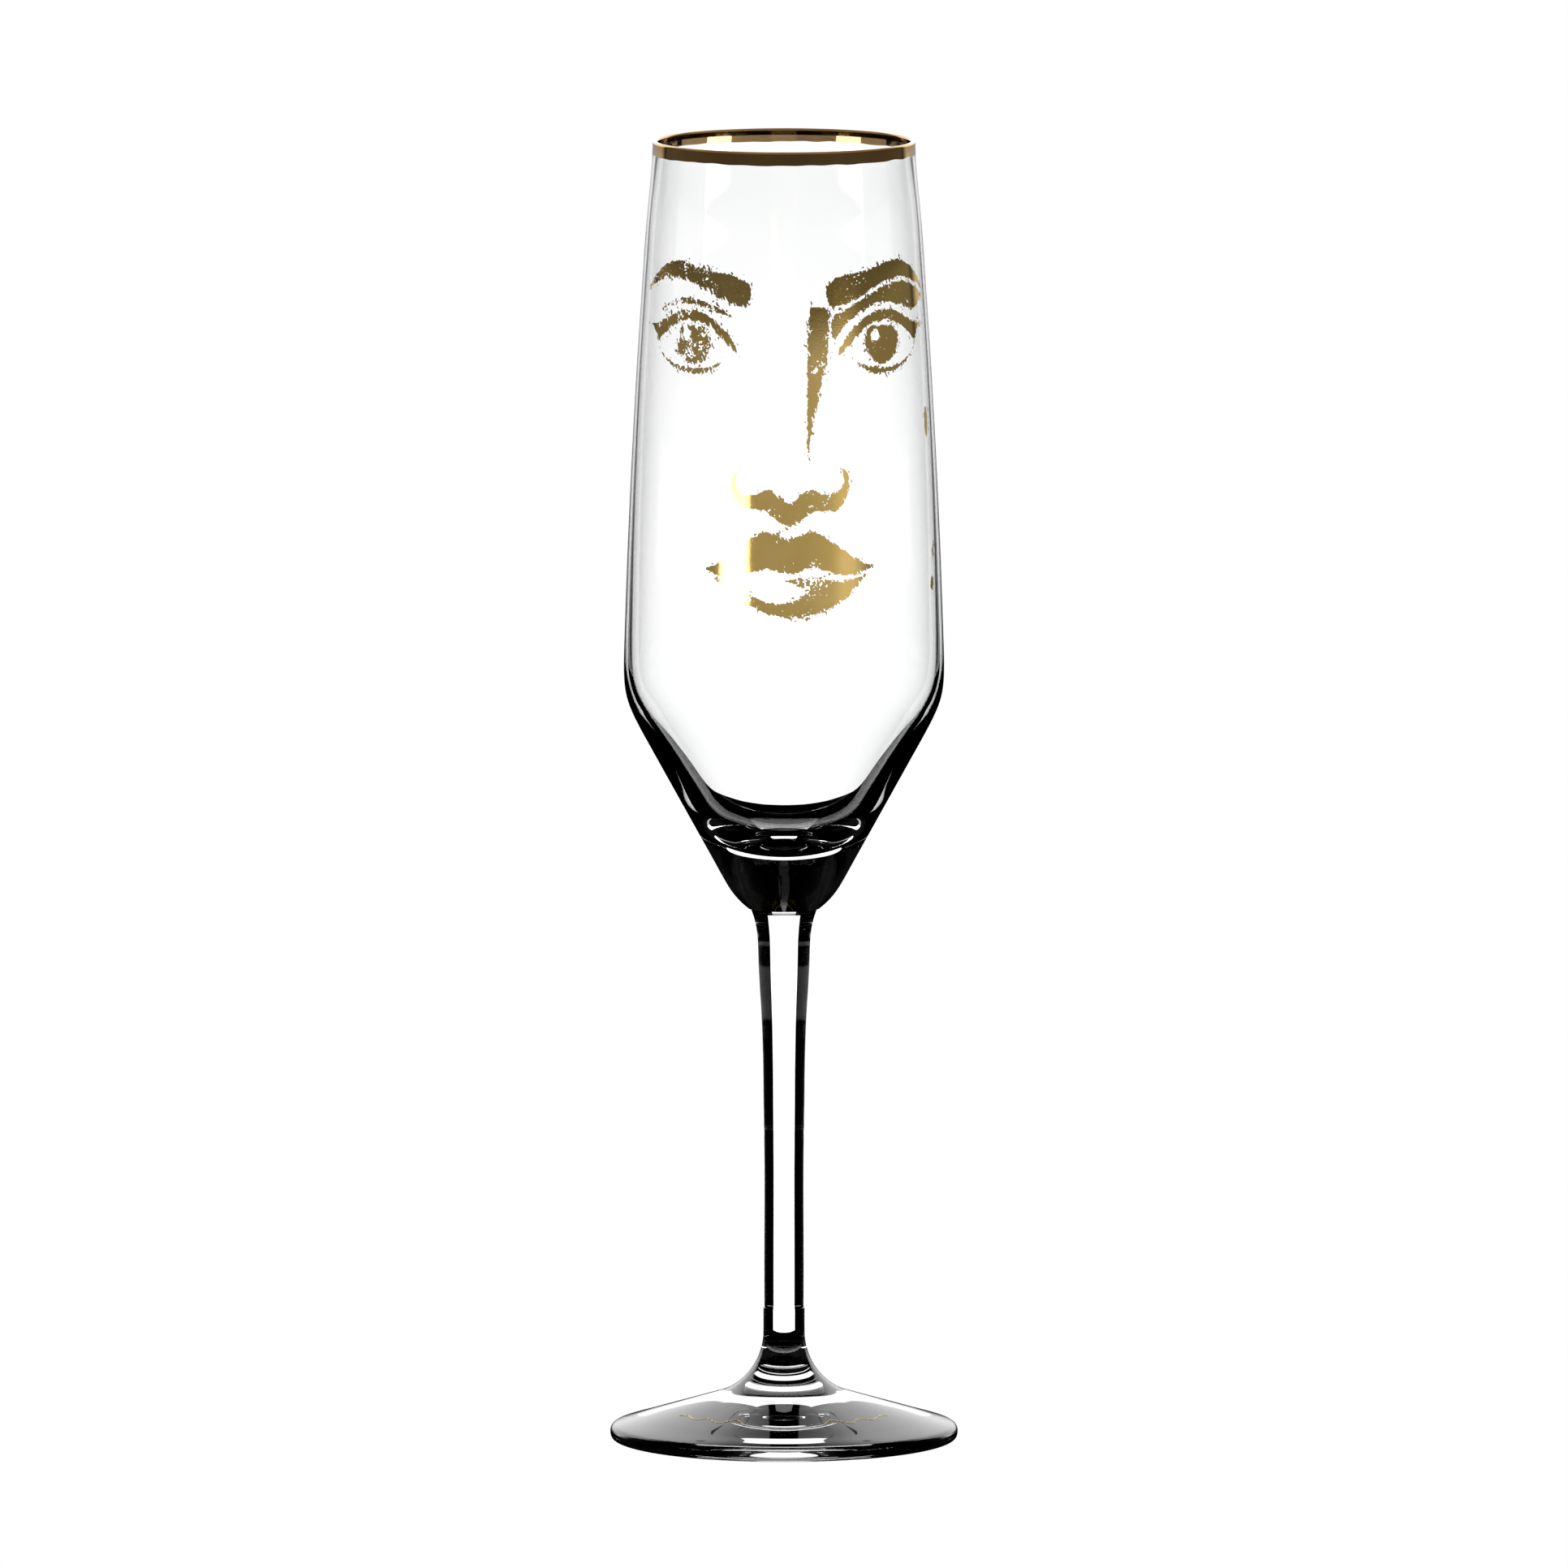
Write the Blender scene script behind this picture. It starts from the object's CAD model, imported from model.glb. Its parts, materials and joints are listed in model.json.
"""Champagne flute: clear glass, a fired gold lip band and a gold printed face, lit from behind."""

import json
import math

import bpy
import numpy as np
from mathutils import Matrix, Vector

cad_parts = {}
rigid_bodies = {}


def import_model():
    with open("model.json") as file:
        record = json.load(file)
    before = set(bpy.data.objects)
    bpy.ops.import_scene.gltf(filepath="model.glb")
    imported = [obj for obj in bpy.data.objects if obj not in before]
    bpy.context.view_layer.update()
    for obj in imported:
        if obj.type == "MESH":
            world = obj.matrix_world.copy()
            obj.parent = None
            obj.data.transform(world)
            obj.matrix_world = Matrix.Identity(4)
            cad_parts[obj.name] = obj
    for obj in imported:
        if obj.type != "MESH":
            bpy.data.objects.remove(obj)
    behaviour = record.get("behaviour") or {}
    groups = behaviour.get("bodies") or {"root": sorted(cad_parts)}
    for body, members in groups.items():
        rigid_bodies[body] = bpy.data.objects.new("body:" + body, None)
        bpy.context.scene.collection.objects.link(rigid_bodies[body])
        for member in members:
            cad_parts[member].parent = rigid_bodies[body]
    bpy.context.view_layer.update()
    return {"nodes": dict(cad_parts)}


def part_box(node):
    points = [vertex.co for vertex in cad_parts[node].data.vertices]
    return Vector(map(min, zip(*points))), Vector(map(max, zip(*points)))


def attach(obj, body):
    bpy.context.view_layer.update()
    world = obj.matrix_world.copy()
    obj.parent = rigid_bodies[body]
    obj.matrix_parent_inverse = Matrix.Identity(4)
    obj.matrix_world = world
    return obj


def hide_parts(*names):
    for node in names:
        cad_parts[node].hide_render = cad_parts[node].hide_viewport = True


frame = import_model()
nodes = frame["nodes"]

MM = 0.001
TINY = 1e-18  # keeps a division from meeting zero

# ---------------------------------------------------------------- outlines read from the frame

CORNER = 33.0  # a profile that turns more than this at a point has a real corner there, in degrees
STEP = 0.75 * MM  # longest step along a profile
STEP_TURN = 3.0  # and the most that one step turns, in degrees
SAME = 0.03 * MM  # two surfaces nearer than this are one fused joint
MESH_GRID = 0.001 * MM  # points of a CAD mesh that round to one place on this grid are one point


def seam_profile(name):
    """The CAD node's outline of revolution as (radius, height) rows, from the axis round to the axis."""
    mesh = nodes[name].data
    points = np.array([v.co[:] for v in mesh.vertices])
    keys = [tuple(k) for k in np.round(points / MESH_GRID).astype(int)]
    on_plane = [abs(k[1]) <= 1 and k[0] >= -1 for k in keys]
    links = {}
    for edge in mesh.edges:
        a, b = edge.vertices
        if on_plane[a] and on_plane[b] and keys[a] != keys[b]:
            links.setdefault(keys[a], set()).add(keys[b])
            links.setdefault(keys[b], set()).add(keys[a])
    here = min((k for k in links if abs(k[0]) <= 1), key=lambda k: k[2])
    path = [here]
    while True:
        ahead = [k for k in links[path[-1]] if k not in path]
        if not ahead:
            break
        path.append(ahead[0])
    return np.array([(k[0], k[2]) for k in path]) * MESH_GRID


def spline(points, count_of):
    """A natural cubic spline through the points, by distance along them."""
    along = np.concatenate([[0], np.cumsum(np.linalg.norm(np.diff(points, axis=0), axis=1))])
    gap = np.diff(along)
    n = len(points)
    matrix = np.eye(n)
    right = np.zeros((n, 2))
    for i in range(1, n - 1):
        matrix[i, i - 1 : i + 2] = gap[i - 1], 2 * (gap[i - 1] + gap[i]), gap[i]
        slopes = np.diff(points[i - 1 : i + 2], axis=0) / gap[i - 1 : i + 1, None]
        right[i] = 6 * (slopes[1] - slopes[0])
    second = np.linalg.solve(matrix, right)
    result = []
    for i in range(n - 1):
        steps = count_of(i)
        t = np.linspace(0, gap[i], steps, endpoint=False)[:, None]
        u = gap[i] - t
        result.append(
            (second[i] * u**3 + second[i + 1] * t**3) / (6 * gap[i])
            + (points[i] / gap[i] - second[i] * gap[i] / 6) * u
            + (points[i + 1] / gap[i] - second[i + 1] * gap[i] / 6) * t
        )
    result.append(points[-1:])
    return np.concatenate(result)


def turns_at(points):
    """How much the line turns at each inner point, in degrees."""
    steps = np.diff(points, axis=0)
    heading = np.arctan2(steps[:, 1], steps[:, 0])
    turn = np.degrees(np.diff(heading))
    return np.abs((turn + 180) % 360 - 180)


def smooth_profile(name):
    """The profile at a fine even step, and the places of its real corners."""
    raw = seam_profile(name)
    corners = [0] + [i + 1 for i, t in enumerate(turns_at(raw)) if t > CORNER] + [len(raw) - 1]
    rows = []
    sharp = []
    for a, b in zip(corners, corners[1:]):
        run = raw[a : b + 1]
        # Where the run meets the axis it is reflected, so that it crosses the axis level.
        before = run[1:3][::-1] * (-1, 1) if a == 0 and len(run) > 2 else run[:0]
        after = run[-3:-1][::-1] * (-1, 1) if b == len(raw) - 1 and len(run) > 2 else run[:0]
        whole = np.concatenate([before, run, after])
        bend = np.concatenate([[0], turns_at(whole), [0]]) if len(whole) > 2 else np.zeros(len(whole))

        def count(i):
            length = np.linalg.norm(whole[i + 1] - whole[i])
            return max(1, math.ceil(length / STEP), math.ceil((bend[i] + bend[i + 1]) / 2 / STEP_TURN))

        fine = spline(whole, count)
        start = sum(count(i) for i in range(len(before)))
        stop = start + sum(count(i) for i in range(len(before), len(before) + len(run) - 1))
        fine = fine[start : stop + 1]
        if rows:
            sharp.append(sum(len(r) for r in rows) - 1)
            fine = fine[1:]
        rows.append(fine)
    return np.concatenate(rows), sharp


def near_line(point, line):
    """Distance from a point to a polyline."""
    a, b = line[:-1], line[1:]
    d = b - a
    t = np.clip(((point - a) * d).sum(1) / np.maximum((d * d).sum(1), TINY), 0, 1)
    return np.linalg.norm(a + t[:, None] * d - point, axis=1).min()


# ---------------------------------------------------------------- mesh helpers


def ring_points(radius, height, angle):
    """Points at this radius and height, with angle 0 at the front and growing towards +X."""
    return np.stack([radius * np.sin(angle), -radius * np.cos(angle), height + 0 * angle], axis=-1)


def add_piece(name, vertices, faces, slot, *replaced):
    """A mesh that rides on the flute and stands for CAD nodes, with its faces turned outwards."""
    mesh = bpy.data.meshes.new(name)
    mesh.from_pydata(np.asarray(vertices).tolist(), [], faces)
    mesh.shade_smooth()
    triangles = [(f[0], f[i], f[i + 1]) for f in faces for i in range(1, len(f) - 1)]
    corner = np.asarray(vertices)[np.array(triangles)]
    if np.einsum("ij,ij->", np.cross(corner[:, 0], corner[:, 1]), corner[:, 2]) < 0:
        mesh.flip_normals()
    piece = bpy.data.objects.new(name, mesh)
    bpy.context.scene.collection.objects.link(piece)
    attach(piece, "root")
    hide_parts(*replaced)
    return piece


def mark_sharp(mesh, flags):
    mesh.attributes.new("sharp_edge", "BOOLEAN", "EDGE").data.foreach_set("value", flags)


# ---------------------------------------------------------------- glass

GLASS_TURNS = 192  # faces round each glass piece


def spin(name, others):
    """The node's glass as a smooth solid of revolution. Faces fused to another piece get the second slot."""
    profile, sharp = smooth_profile(name)
    profile[0, 0] = profile[-1, 0] = 0.0
    turns = GLASS_TURNS
    angle = np.arange(turns) * 2 * math.pi / turns
    rings = profile[1:-1]
    vertices = np.concatenate([ring_points(r, z, angle) for r, z in rings])
    first = len(vertices)
    vertices = np.concatenate([vertices, [[0, 0, profile[0, 1]], [0, 0, profile[-1, 1]]]])
    faces = []
    fused = []
    for i in range(len(profile) - 1):
        middle = (profile[i] + profile[i + 1]) / 2
        is_fused = any(near_line(middle, line) < SAME for line in others)
        low, high = (i - 1) * turns, i * turns
        for j in range(turns):
            k = (j + 1) % turns
            if i == 0:
                faces.append((first, k, j))
            elif i == len(profile) - 2:
                faces.append((low + j, low + k, first + 1))
            else:
                faces.append((low + j, low + k, high + k, high + j))
            fused.append(is_fused)
    piece = add_piece(name + "_glass", vertices, faces, "clear_glass", name)
    mesh = piece.data
    mesh.polygons.foreach_set("material_index", np.array(fused, np.int32))
    sharp_rings = {s - 1 for s in sharp}
    rings_of = [(e.vertices[0] // turns, e.vertices[1] // turns) for e in mesh.edges]
    mark_sharp(mesh, [a == b and a in sharp_rings for a, b in rings_of])
    mesh.materials.append(glass)
    mesh.materials.append(fused_joint)


# ---------------------------------------------------------------- gold lip band

BAND_TURNS = 360
BAND_WAVER = 0.10 * MM  # how far the hand-painted lower edge wanders
BAND_FADE = 1.2 * MM  # height over which that fades out
LIP_ROWS = 40  # the profile reaches the lip's inner side within this many rows past the top
GAP = 0.005 * MM  # between the glass and the gold on it
GOLD = 0.045 * MM  # thickness of the gold as modelled
WAVES = 9  # sine waves that make up a wandering line


def wander(angle, seed, waves):
    """A line that wanders between about -1 and 1 round a ring, and closes on itself."""
    rng = np.random.default_rng(seed)
    counts = rng.integers(*waves, WAVES)
    phases = rng.uniform(0, 2 * math.pi, WAVES)
    return sum(np.sin(n * angle + p) for n, p in zip(counts, phases)) / 4


def offset_line(line, distance):
    """The line moved to its right-hand side."""
    tangent = np.gradient(line, axis=0)
    tangent /= np.linalg.norm(tangent, axis=1)[:, None]
    return line + distance * np.stack([tangent[:, 1], -tangent[:, 0]], axis=1)


def gild_lip():
    """The band follows the glass up the outside of the lip and over its top."""
    low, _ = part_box("rim_band")
    profile, _ = smooth_profile("bowl")
    top = int(np.argmax(profile[:, 1]))
    over = top + int(np.argmin(profile[top : top + LIP_ROWS, 0]))
    rising = profile[: top + 1]
    start = int(np.argmax(rising[:, 1] > low.z))
    foot_of_band = [np.interp(low.z, rising[:, 1], rising[:, 0]), low.z]
    line = np.concatenate([[foot_of_band], profile[start : over + 1]])
    outer = offset_line(line, GAP + GOLD)
    inner = offset_line(line, GAP)
    loop = np.concatenate([outer, inner[::-1]])
    angle = np.arange(BAND_TURNS) * 2 * math.pi / BAND_TURNS
    lift = BAND_WAVER * (1 + wander(angle, 11, (3, 40)))
    vertices = []
    for r, z in loop:
        # Only what is near the lower edge moves, and it fades out half way up the band.
        share = max(0.0, 1 - (z - low.z) / BAND_FADE)
        vertices.append(ring_points(r, z + share * lift, angle))
    vertices = np.concatenate(vertices)
    count = len(loop)
    faces = []
    for i in range(count):
        k = (i + 1) % count
        for j in range(BAND_TURNS):
            m = (j + 1) % BAND_TURNS
            faces.append((i * BAND_TURNS + j, i * BAND_TURNS + m, k * BAND_TURNS + m, k * BAND_TURNS + j))
    piece = add_piece("lip_gilding", vertices, faces, "gold_band", "rim_band")
    piece.data.materials.append(gold_band)
    # The band's four edges are crisp.
    edges = {0, len(line) - 1, len(line), count - 1}
    rings = [(e.vertices[0] // BAND_TURNS, e.vertices[1] // BAND_TURNS) for e in piece.data.edges]
    mark_sharp(piece.data, [a == b and a in edges for a, b in rings])


# ---------------------------------------------------------------- gold print

CELL = 0.11 * MM  # grid that the print's outline is cut on
EDGE_CLEAR = 0.02  # a cut keeps this share of a cell's edge clear of its ends
MARGIN = 1.6 * MM  # of the grid round the print
PRINT_RADIUS = 27 * MM  # the bowl's radius behind the print, which unrolls it
PRINT_GRID = 0.002 * MM  # points of the unrolled border that round to one place on this grid are one point
PROUD = 0.03 * MM  # the print's outer face stands further off the wall than this
BITE, BITE_SIZE = 0.42 * MM, 0.80 * MM  # depth and size of the border's larger bites
NICK, NICK_SIZE = 0.50 * MM, 0.30 * MM  # and of its smaller ones
STREAK_SIZE, STREAK_STRETCH, STREAK_REACH = 0.26 * MM, 7.0, 1.3 * MM
PIN_SIZE, PATCH_SIZE = 0.28 * MM, 3.0 * MM  # pinholes, and the patches that they crowd in
SPECK_SIZE, SPECK_STRETCH, CROWD_SIZE = 0.30 * MM, 2.2, 2.2 * MM
# How high the noise of each kind of wear has to be before it shows, and what lowers or raises that: how dry
# the print is, how deep inside it the place is, how near to it, and how crowded the patch is.
STREAK_LEVEL, STREAK_DRY, STREAK_DEPTH = 0.84, 0.18, 0.50
PIN_LEVEL, PIN_DRY, PATCH_START = 0.99, 0.55, 0.25
SPECK_LEVEL, SPECK_NEAR, SPECK_CROWD = 1.07, 0.24, 0.28
FRINGE = 1.3 * MM  # how far stray specks lie from the print
LATTICE = 256  # points along each side of the noise, which repeats after them


def lattice_noise(u, z, size, seed):
    """Smooth seeded noise between 0 and 1, with features of this size."""
    rng = np.random.default_rng(seed)
    grid = rng.random((LATTICE, LATTICE))
    x, y = u / size + LATTICE / 2 + 0.5, z / size
    i, j = np.floor(x).astype(int), np.floor(y).astype(int)
    fx, fy = x - i, y - j
    fx, fy = fx * fx * (3 - 2 * fx), fy * fy * (3 - 2 * fy)

    def at(a, b):
        return grid[a % LATTICE, b % LATTICE]

    low = at(i, j) * (1 - fx) + at(i + 1, j) * fx
    high = at(i, j + 1) * (1 - fx) + at(i + 1, j + 1) * fx
    return low * (1 - fy) + high * fy


def wall_radius():
    """The bowl's outer radius by height, as two rising lists."""
    profile, _ = smooth_profile("bowl")
    top = int(np.argmax(profile[:, 1]))
    side = profile[: top + 1]
    return side[:, 1], side[:, 0]


def unrolled_edges(name, heights, radii):
    """The border of the CAD print's outer face, unrolled flat: (across, height) segments, in metres."""
    mesh = nodes[name].data
    points = np.array([v.co[:] for v in mesh.vertices])
    radius = np.hypot(points[:, 0], points[:, 1])
    proud = radius - np.interp(points[:, 2], heights, radii) > PROUD
    flat = np.stack([np.arctan2(points[:, 0], -points[:, 1]) * PRINT_RADIUS, points[:, 2]], axis=1)
    keys = [tuple(k) for k in np.round(flat / PRINT_GRID).astype(int)]
    seen = {}
    for face in mesh.polygons:
        if all(proud[v] for v in face.vertices):
            loop = [keys[v] for v in face.vertices]
            for a, b in zip(loop, loop[1:] + loop[:1]):
                seen[frozenset((a, b))] = seen.get(frozenset((a, b)), 0) + 1
    border = [sorted(k) for k, n in seen.items() if n == 1 and len(k) == 2]
    return np.array(border) * PRINT_GRID


def signed_distance(u, z, border):
    """Distance to the border, positive inside it.

    Three rays vote on what is inside, so a gap in the border does no harm.
    """
    x, y = u.ravel(), z.ravel()
    best = np.full(len(x), np.inf)
    votes = np.zeros((3, len(x)), bool)
    for a, b in border:
        d = b - a
        t = np.clip(((x - a[0]) * d[0] + (y - a[1]) * d[1]) / max(d @ d, TINY), 0, 1)
        best = np.minimum(best, np.hypot(a[0] + t * d[0] - x, a[1] + t * d[1] - y))
        if d[1]:
            meets = (a[1] > y) != (b[1] > y)
            across = a[0] + (y - a[1]) / d[1] * d[0]
            votes[0] ^= meets & (across > x)
            votes[1] ^= meets & (across <= x)
        if d[0]:
            meets = (a[0] > x) != (b[0] > x)
            votes[2] ^= meets & (a[1] + (x - a[0]) / d[0] * d[1] > y)
    inside = votes.sum(0) >= 2
    return np.where(inside, best, -best).reshape(u.shape)


def turned_noise(u, z, size, turn, seed, stretch=1.0):
    """Lattice noise on a lattice turned by this many degrees and stretched along its own second axis."""
    c, k = math.cos(math.radians(turn)), math.sin(math.radians(turn))
    along, across = u * c + z * k, (z * c - u * k) / stretch
    fine = lattice_noise(along + 3 * size, across, size / 2.1, seed + 50)
    return 0.68 * lattice_noise(along, across, size, seed) + 0.32 * fine


def worn(distance, u, z, seed, dry):
    """The print's field: a ragged border, brushed streaks, pinholes in patches and stray specks outside."""
    ragged = BITE * (turned_noise(u, z, BITE_SIZE, 31, seed) - 0.5)
    ragged += NICK * (turned_noise(u, z, NICK_SIZE, 17, seed + 1) - 0.5)
    field = distance + ragged
    # Brushed streaks cut into the border, and fade out towards the middle.
    depth = np.clip(distance / STREAK_REACH, 0, 1)
    streak = turned_noise(u, z, STREAK_SIZE, 24, seed + 4, STREAK_STRETCH)
    field = np.minimum(field, (STREAK_LEVEL - STREAK_DRY * dry - streak + STREAK_DEPTH * depth) * MM)
    patch = turned_noise(u, z, PATCH_SIZE, 40, seed + 2)
    pin = turned_noise(u, z, PIN_SIZE, 12, seed + 3)
    crowded = np.clip(patch - PATCH_START, 0, 1)
    field = np.minimum(field, (PIN_LEVEL - pin - dry * PIN_DRY * crowded) * MM)
    # Specks and short hairs lie outside, close to the border.
    outside = distance < 0
    near = np.clip(1 + distance / FRINGE, 0, 1) * outside
    speck = turned_noise(u, z, SPECK_SIZE, 24, seed + 5, SPECK_STRETCH)
    crowd = turned_noise(u, z, CROWD_SIZE, 50, seed + 6)
    stray = (speck - SPECK_LEVEL + SPECK_NEAR * near + SPECK_CROWD * crowd) * MM * near
    return np.maximum(field, np.where(outside, stray, -MM))


# Each case of a grid cell: which corners and cut edges the gold covers. Corners are 0 to 3 and edges 4 to 7.
CELL_CASES = {
    0: [],
    1: [(0, 4, 7)],
    2: [(1, 5, 4)],
    3: [(0, 1, 5, 7)],
    4: [(2, 6, 5)],
    5: [(0, 4, 7), (2, 6, 5)],
    6: [(1, 2, 6, 4)],
    7: [(0, 1, 2, 6, 7)],
    8: [(3, 7, 6)],
    9: [(0, 4, 6, 3)],
    10: [(1, 5, 4), (3, 7, 6)],
    11: [(0, 1, 5, 6, 3)],
    12: [(2, 3, 7, 5)],
    13: [(0, 4, 5, 2, 3)],
    14: [(1, 2, 3, 7, 4)],
    15: [(0, 1, 2, 3)],
}


def cut_out(field, u0, z0):
    """Flat faces where the field is above 0, as (points, faces), by marching squares."""
    points = []
    index = {}

    def vertex(i, j, di, dj):
        """The grid point, or the cut on the edge to its neighbour."""
        key = (i, j, di, dj)
        if key not in index:
            share = 0.0
            if di or dj:
                a, b = field[i, j], field[i + di, j + dj]
                share = min(1 - EDGE_CLEAR, max(EDGE_CLEAR, a / (a - b)))
            index[key] = len(points)
            points.append((u0 + (i + di * share) * CELL, z0 + (j + dj * share) * CELL))
        return index[key]

    solid = field > 0
    case = solid[:-1, :-1] + 2 * solid[1:, :-1] + 4 * solid[1:, 1:] + 8 * solid[:-1, 1:]
    faces = []
    for i, j in zip(*np.nonzero(case)):
        places = [
            (i, j, 0, 0),
            (i + 1, j, 0, 0),
            (i + 1, j + 1, 0, 0),
            (i, j + 1, 0, 0),
            (i, j, 1, 0),
            (i + 1, j, 0, 1),
            (i, j + 1, 1, 0),
            (i, j, 0, 1),
        ]
        for polygon in CELL_CASES[int(case[i, j])]:
            faces.append([vertex(*places[p]) for p in polygon])
    return np.array(points), faces


def print_piece(name, seed, dry, heights, radii):
    """The node's print with a worn outline, wrapped on the bowl as a thin closed layer."""
    border = unrolled_edges(name, heights, radii)
    low = border.reshape(-1, 2).min(0) - MARGIN
    high = border.reshape(-1, 2).max(0) + MARGIN
    us = np.arange(low[0], high[0], CELL)
    zs = np.arange(low[1], high[1], CELL)
    u, z = np.meshgrid(us, zs, indexing="ij")
    field = worn(signed_distance(u, z, border), u, z, seed, dry)
    flat, faces = cut_out(field, us[0], zs[0])
    angle = flat[:, 0] / PRINT_RADIUS
    radius = np.interp(flat[:, 1], heights, radii)
    outer = ring_points(radius + GAP + GOLD, flat[:, 1], angle)
    inner = ring_points(radius + GAP, flat[:, 1], angle)
    count = len(flat)
    sides = {}
    for f in faces:
        for a, b in zip(f, f[1:] + f[:1]):
            if (b, a) in sides:
                del sides[(b, a)]
            else:
                sides[(a, b)] = True
    shell = [tuple(f) for f in faces]
    shell += [tuple(v + count for v in reversed(f)) for f in faces]
    shell += [(b, a, a + count, b + count) for a, b in sides]
    vertices = np.concatenate([outer, inner])
    piece = add_piece(name.replace("print_", "gold_"), vertices, shell, "gold_print", name)
    piece.data.materials.append(gold_print)
    rim = {frozenset(s) for s in sides}
    rim |= {frozenset((a + count, b + count)) for a, b in sides}
    mark_sharp(piece.data, [frozenset(e.vertices) in rim for e in piece.data.edges])


# ---------------------------------------------------------------- materials

RELIEF_DEPTH = 0.02 * MM  # of every material's fine bumps
RIPPLE_SCALE, RIPPLE = 45.0, 0.04  # the ripple of blown glass
TINT_SCALE = 30.0
DRIFT_SCALE = 70.0  # patches in the gold's colour
WEAR_SCALE = 700.0  # worn places in thin gold lines


def new_material(name):
    material = bpy.data.materials.new(name)
    material.use_nodes = True
    tree = material.node_tree
    tree.nodes.clear()
    output = tree.nodes.new("ShaderNodeOutputMaterial")
    return material, tree, output


def add_node(tree, kind, **settings):
    """A node with its settings and input values. Inputs are given as inputs={...}."""
    node = tree.nodes.new(kind)
    for name, value in settings.pop("inputs", {}).items():
        node.inputs[name].default_value = value
    for name, value in settings.items():
        setattr(node, name, value)
    return node


def noise(tree, where, scale, detail=2.0):
    node = add_node(tree, "ShaderNodeTexNoise", inputs={"Scale": scale, "Detail": detail})
    tree.links.new(where.outputs["Object"], node.inputs["Vector"])
    return node.outputs["Fac"]


def spread(tree, value, low, high, start=0.3, stop=0.7):
    """A 0 to 1 value stretched to between low and high."""
    inputs = {"From Min": start, "From Max": stop, "To Min": low, "To Max": high}
    node = add_node(tree, "ShaderNodeMapRange", inputs=inputs)
    tree.links.new(value, node.inputs["Value"])
    return node.outputs["Result"]


def ramp(tree, value, *stops):
    """A colour ramp with (place, colour) stops."""
    node = tree.nodes.new("ShaderNodeValToRGB")
    elements = node.color_ramp.elements
    while len(elements) < len(stops):
        elements.new(0.5)
    for element, (place, colour) in zip(elements, stops):
        element.position = place
        element.color = (*colour, 1)
    tree.links.new(value, node.inputs[0])
    return node.outputs[0]


def glass_material():
    """Clear crystal with the faint ripple of blown glass and an even fainter change of tint."""
    material, tree, output = new_material("clear_glass")
    where = tree.nodes.new("ShaderNodeTexCoord")
    clear = {"Transmission Weight": 1, "Roughness": 0, "IOR": 1.52}
    glass = add_node(tree, "ShaderNodeBsdfPrincipled", inputs=clear)
    tint = ramp(tree, noise(tree, where, TINT_SCALE), (0.35, (0.985, 0.992, 0.990)), (0.65, (1, 1, 1)))
    tree.links.new(tint, glass.inputs["Base Color"])
    bump = add_node(tree, "ShaderNodeBump", inputs={"Strength": RIPPLE, "Distance": RELIEF_DEPTH})
    tree.links.new(noise(tree, where, RIPPLE_SCALE, 0.0), bump.inputs["Height"])
    tree.links.new(bump.outputs[0], glass.inputs["Normal"])
    tree.links.new(glass.outputs[0], output.inputs[0])
    return material


def fused_material():
    """Where two pieces of glass are fused there is no surface left to see."""
    material, tree, output = new_material("fused_joint")
    clear = tree.nodes.new("ShaderNodeBsdfTransparent")
    tree.links.new(clear.outputs[0], output.inputs[0])
    return material


def gold_material(name, deep, mid, bright, roughness, grain, relief, mesh_pitch=None, thin=None):
    """Fired gold: a colour that drifts in patches, fine grain, and for the print the screen's mesh."""
    material, tree, output = new_material(name)
    where = tree.nodes.new("ShaderNodeTexCoord")
    gold = add_node(tree, "ShaderNodeBsdfPrincipled", inputs={"Metallic": 1})
    drift = noise(tree, where, DRIFT_SCALE)
    colour = ramp(tree, drift, (0.30, deep), (0.50, mid), (0.70, bright))
    tree.links.new(colour, gold.inputs["Base Color"])
    tree.links.new(spread(tree, noise(tree, where, grain), *roughness), gold.inputs["Roughness"])
    height = noise(tree, where, grain, 3.0)
    if mesh_pitch:
        screen = add_node(tree, "ShaderNodeTexVoronoi", inputs={"Scale": 1 / mesh_pitch})
        tree.links.new(where.outputs["Object"], screen.inputs["Vector"])
        both = add_node(tree, "ShaderNodeMath", operation="ADD")
        tree.links.new(height, both.inputs[0])
        tree.links.new(screen.outputs["Distance"], both.inputs[1])
        height = both.outputs[0]
    bump = add_node(tree, "ShaderNodeBump", inputs={"Strength": relief, "Distance": RELIEF_DEPTH})
    tree.links.new(height, bump.inputs["Height"])
    tree.links.new(bump.outputs[0], gold.inputs["Normal"])
    if thin:
        wear = noise(tree, where, WEAR_SCALE, 3.0)
        tree.links.new(spread(tree, wear, *thin), gold.inputs["Alpha"])
    tree.links.new(gold.outputs[0], output.inputs[0])
    return material


# ---------------------------------------------------------------- build

glass = glass_material()
fused_joint = fused_material()
# Each gold has three colours from deep to bright, its range of roughness, its grain's scale and its relief.
gold_band = gold_material(
    "gold_band",
    *((0.40, 0.22, 0.08), (0.48, 0.28, 0.10), (0.56, 0.34, 0.13)),
    roughness=(0.03, 0.07),
    grain=900.0,
    relief=0.05,
)
gold_print = gold_material(
    "gold_print",
    *((0.70, 0.47, 0.13), (0.78, 0.54, 0.17), (0.86, 0.62, 0.24)),
    roughness=(0.06, 0.12),
    grain=2500.0,
    relief=0.10,
    mesh_pitch=0.22 * MM,
)
gold_hairline = gold_material(
    "gold_hairline",
    *((0.52, 0.38, 0.14), (0.60, 0.45, 0.18), (0.68, 0.52, 0.24)),
    roughness=(0.2, 0.4),
    grain=900.0,
    relief=0.05,
    thin=(0.05, 0.75),
)

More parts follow.
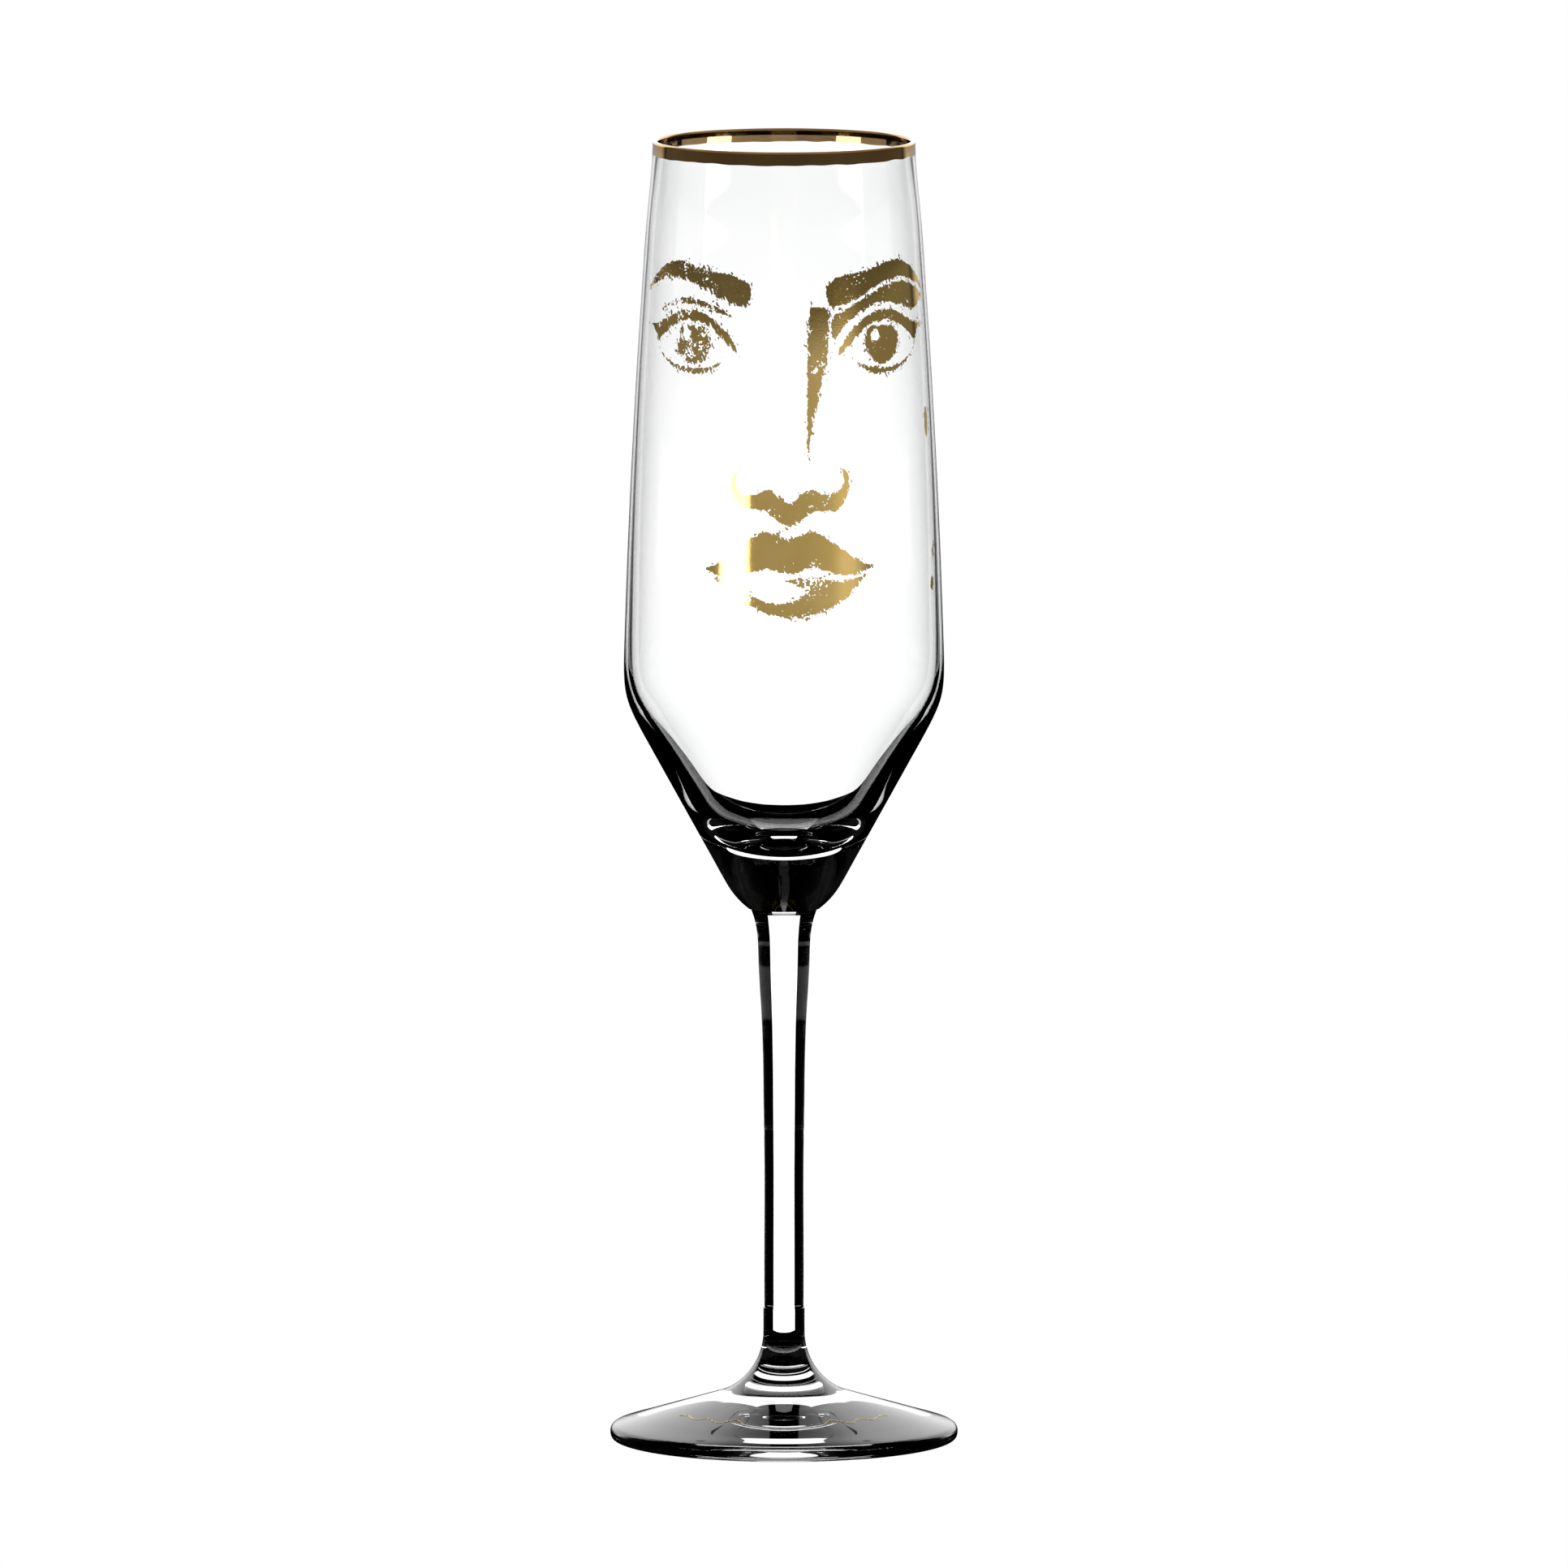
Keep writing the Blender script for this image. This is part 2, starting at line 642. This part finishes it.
GLASS_NODES = ["bowl", "stem", "foot"]
outlines = {name: seam_profile(name) for name in GLASS_NODES}
for name in GLASS_NODES:
    spin(name, [outlines[other] for other in GLASS_NODES if other != name])

gild_lip()

wall_heights, wall_radii = wall_radius()
# How dry and so how broken each part of the print is.
DRY = {"left": 1.5, "nose": 1.2, "upper": 1.0, "lower": 1.25, "cheek": 1.6, "right": 0.8}
print_nodes = sorted(name for name in nodes if name.startswith("print_"))
for seed, name in enumerate(print_nodes):
    print_piece(name, 100 * (seed + 1), DRY[name.split("_")[1]], wall_heights, wall_radii)

scroll = nodes["foot_scroll"]
scroll.data.materials.clear()
scroll.data.materials.append(gold_hairline)

# ---------------------------------------------------------------- studio

ELEVATION = math.radians(6.8)
LENS = 600.0
SENSOR = 36.0
FRAME_HEIGHT = 0.288  # what the frame shows at the flute
AIM = Vector((0, 0, 0.1213))

scene = bpy.context.scene
camera = bpy.data.objects.new("camera", bpy.data.cameras.new("camera"))
scene.collection.objects.link(camera)
camera.data.lens = LENS
camera.data.sensor_width = SENSOR
distance = FRAME_HEIGHT / SENSOR * LENS
camera.location = AIM + distance * Vector((0, -math.cos(ELEVATION), math.sin(ELEVATION)))
camera.rotation_euler = (math.pi / 2 - ELEVATION, 0, 0)
camera.data.clip_start, camera.data.clip_end = 0.1, 20.0
scene.camera = camera

# The lights stand on a turntable that keeps the backlight behind the flute for whoever looks at it.
# It tips with the view too. Lights are placed as they stand in the main view, with +X to the viewer's right,
# +Y straight up and +Z level towards the viewer, and level() turns that into the turntable's own frame.
turntable = bpy.data.objects.new("turntable", None)
scene.collection.objects.link(turntable)
turntable.location = AIM
follow = turntable.constraints.new("COPY_ROTATION")
follow.target = camera


def stage_mesh(name, vertices, faces, material, parent=None):
    mesh = bpy.data.meshes.new(name)
    mesh.from_pydata(vertices, [], faces)
    mesh.materials.append(material)
    item = bpy.data.objects.new(name, mesh)
    scene.collection.objects.link(item)
    item.parent = parent
    item.visible_diffuse = False
    item.visible_shadow = False
    return item


def level(points):
    """Points given with a level +Z, in the frame of the turntable, whose +Z looks up at the camera."""
    c, k = math.cos(ELEVATION), math.sin(ELEVATION)
    x, y, z = np.moveaxis(np.asarray(points, float), -1, 0)
    return np.stack([x, y * c - z * k, y * k + z * c], axis=-1).reshape(-1, 3).tolist()


def glow_material(name):
    """Light whose strength is painted on the mesh as the attribute glow."""
    material, tree, output = new_material(name)
    light = tree.nodes.new("ShaderNodeEmission")
    glow = add_node(tree, "ShaderNodeAttribute", attribute_name="glow")
    tree.links.new(glow.outputs["Fac"], light.inputs["Strength"])
    tree.links.new(light.outputs[0], output.inputs[0])
    return material


def paint_glow(item, values):
    attribute = item.data.attributes.new("glow", "FLOAT", "POINT")
    attribute.data.foreach_set("value", np.asarray(values, np.float32))


def rise(value, start, stop):
    """0 below start, 1 above stop, and smooth between."""
    t = np.clip((value - start) / (stop - start), 0, 1)
    return t * t * (3 - 2 * t)


def span(value, low, high, soft):
    """1 between low and high, falling to 0 over soft at each end."""
    return rise(value, low - soft / 2, low + soft / 2) * (1 - rise(value, high - soft / 2, high + soft / 2))


# The backlight: a glowing sheet behind the flute, a little dimmer at the top than low down.
BACK = 0.40
HALF_WIDTH = 0.170
LOW, TOP = -0.171, 0.190
BANDS = 12
GLOW, GLOW_LOSS = 1.30, 0.22  # its strength, and how much of that it loses
LOSS_START, LOSS_END = -0.02, 0.12  # between these heights
glow = glow_material("glow")
rows = np.linspace(LOW, TOP, BANDS + 1)
sheet = [(x, y, -BACK) for y in rows for x in (-HALF_WIDTH, HALF_WIDTH)]
bands = [(2 * i, 2 * i + 1, 2 * i + 3, 2 * i + 2) for i in range(BANDS)]
backlight = stage_mesh("backlight", level(sheet), bands, glow, turntable)
paint_glow(backlight, [GLOW - GLOW_LOSS * rise(y, LOSS_START, LOSS_END) for y in rows for _ in range(2)])
backlight.visible_camera = False
backlight.visible_glossy = False


# Glass shows every lamp round it, so the lights for the gold light nothing else.
gilded = bpy.data.collections.new("gilded")
for item in bpy.data.objects:
    if item.name.startswith("gold_") or item.name == "lip_gilding":
        gilded.objects.link(item)


def softbox(name, az_range, el_range, distance, strength, soft, seen):
    """A curved light between two azimuths and two elevations, as seen from the flute, in degrees.

    Azimuth 0 is the viewer's side and grows to the viewer's right. The light fades out over soft degrees at
    its border. The strength is a number, or a list of azimuths and a list of the strengths there. Seen says
    where the light shows: "gold" is in the gold's reflections, "mirror" in all reflections, "glass" through
    the glass and "both" in all reflections and through the glass.
    """
    reach = soft / 2
    steps = [max(8, int((high - low + soft) / max(soft / 4, 1.0))) for low, high in (az_range, el_range)]
    az = np.linspace(az_range[0] - reach, az_range[1] + reach, steps[0] + 1)
    el = np.linspace(el_range[0] - reach, min(90.0, el_range[1] + reach), steps[1] + 1)
    az, el = np.meshgrid(az, el)
    a, e = np.radians(az), np.radians(el)
    points = distance * np.stack([np.sin(a) * np.cos(e), np.sin(e), np.cos(a) * np.cos(e)], axis=-1)
    row = steps[0] + 1
    starts = [j * row + i for j in range(steps[1]) for i in range(steps[0])]
    faces = [(k, k + 1, k + row + 1, k + row) for k in starts]
    box = stage_mesh(name, level(points), faces, glow, turntable)
    if isinstance(strength, tuple):
        strength = np.interp(az, *strength)
    paint_glow(box, (strength * span(az, *az_range, soft) * span(el, *el_range, soft)).ravel())
    box.visible_camera = False
    box.visible_transmission = seen in ("glass", "both")
    box.visible_glossy = seen != "glass"
    if seen == "gold":
        box.light_linking.receiver_collection = gilded


# The front light by azimuth: it is brighter to the viewer's right, with a streak of more light in it.
FILL = (
    [-120, -60, -20, 15, 34, 42, 50, 62, 120],
    [0.20, 0.28, 0.44, 0.46, 0.56, 0.80, 0.78, 0.30, 0.20],
)
SOFTBOXES = [
    ("fill", (-120, 120), (-9, 18), 0.30, FILL, 1.0, "gold"),
    ("sky", (-180, 180), (22, 90), 2.95, 0.45, 4.0, "gold"),
    ("fill_below", (-130, 130), (-62, -12), 2.6, 0.45, 2.0, "gold"),
    ("floor_glow", (-180, 180), (-90, -62), 2.62, 0.45, 4.0, "gold"),
    ("fill_high", (-165, 165), (-12, 20), 2.7, 0.13, 2.0, "gold"),
    ("strip", (-45, -25), (-9, 12), 0.28, 6.0, 3.5, "gold"),
    ("rim_left", (-76, -50), (-1.2, 3.8), 0.5, 6.0, 1.0, "both"),
    ("rim_right", (50, 76), (-1.2, 3.8), 0.5, 6.0, 1.0, "both"),
    ("rim_front", (-110, 110), (-1.2, 3.8), 0.52, 0.60, 1.0, "glass"),
    # These three also lie on the foot's slopes.
    ("behind", (132, 228), (0, 38), 2.6, 1.8, 12.0, "mirror"),
    ("behind_left", (184, 200), (36, 48), 2.6, 0.9, 8.0, "mirror"),
    ("behind_right", (160, 176), (36, 48), 2.6, 0.9, 8.0, "mirror"),
    ("low_left", (181, 199), (-20, -9), 2.6, 1.5, 2.0, "gold"),
    ("low_right", (158, 174), (-20, -9), 2.6, 1.5, 2.0, "gold"),
    ("overhead", (-14, 14), (60, 90), 2.5, 0.14, 4.0, "glass"),
    ("dim_glass_fill", (-120, 120), (-60, 60), 2.8, 0.006, 20.0, "glass"),
]
for settings in SOFTBOXES:
    softbox(*settings)

# The floor and the backdrop: pale paper, evenly lit.
PAPER = 9.0  # half its width
BACKDROP = 6.0  # distance behind the flute
paper_white, tree, output = new_material("paper")
emission = add_node(tree, "ShaderNodeEmission", inputs={"Strength": 1.0})
tree.links.new(emission.outputs[0], output.inputs[0])
for name, depth, parent in (("paper_floor", 0, None), ("paper_backdrop", -BACKDROP, turntable)):
    corners = [(x, y, depth) for x in (-PAPER, PAPER) for y in (-PAPER, PAPER)]
    paper = stage_mesh(name, corners, [(0, 1, 3, 2)], paper_white, parent)
    paper.visible_transmission = False
    paper.visible_glossy = False

world = bpy.data.worlds.new("studio")
scene.world = world
world.use_nodes = True
world.node_tree.nodes["Background"].inputs[0].default_value = (0, 0, 0, 1)

scene.view_settings.view_transform = "Standard"
scene.cycles.transmission_bounces = 32
scene.cycles.max_bounces = 40
scene.cycles.transparent_max_bounces = 32
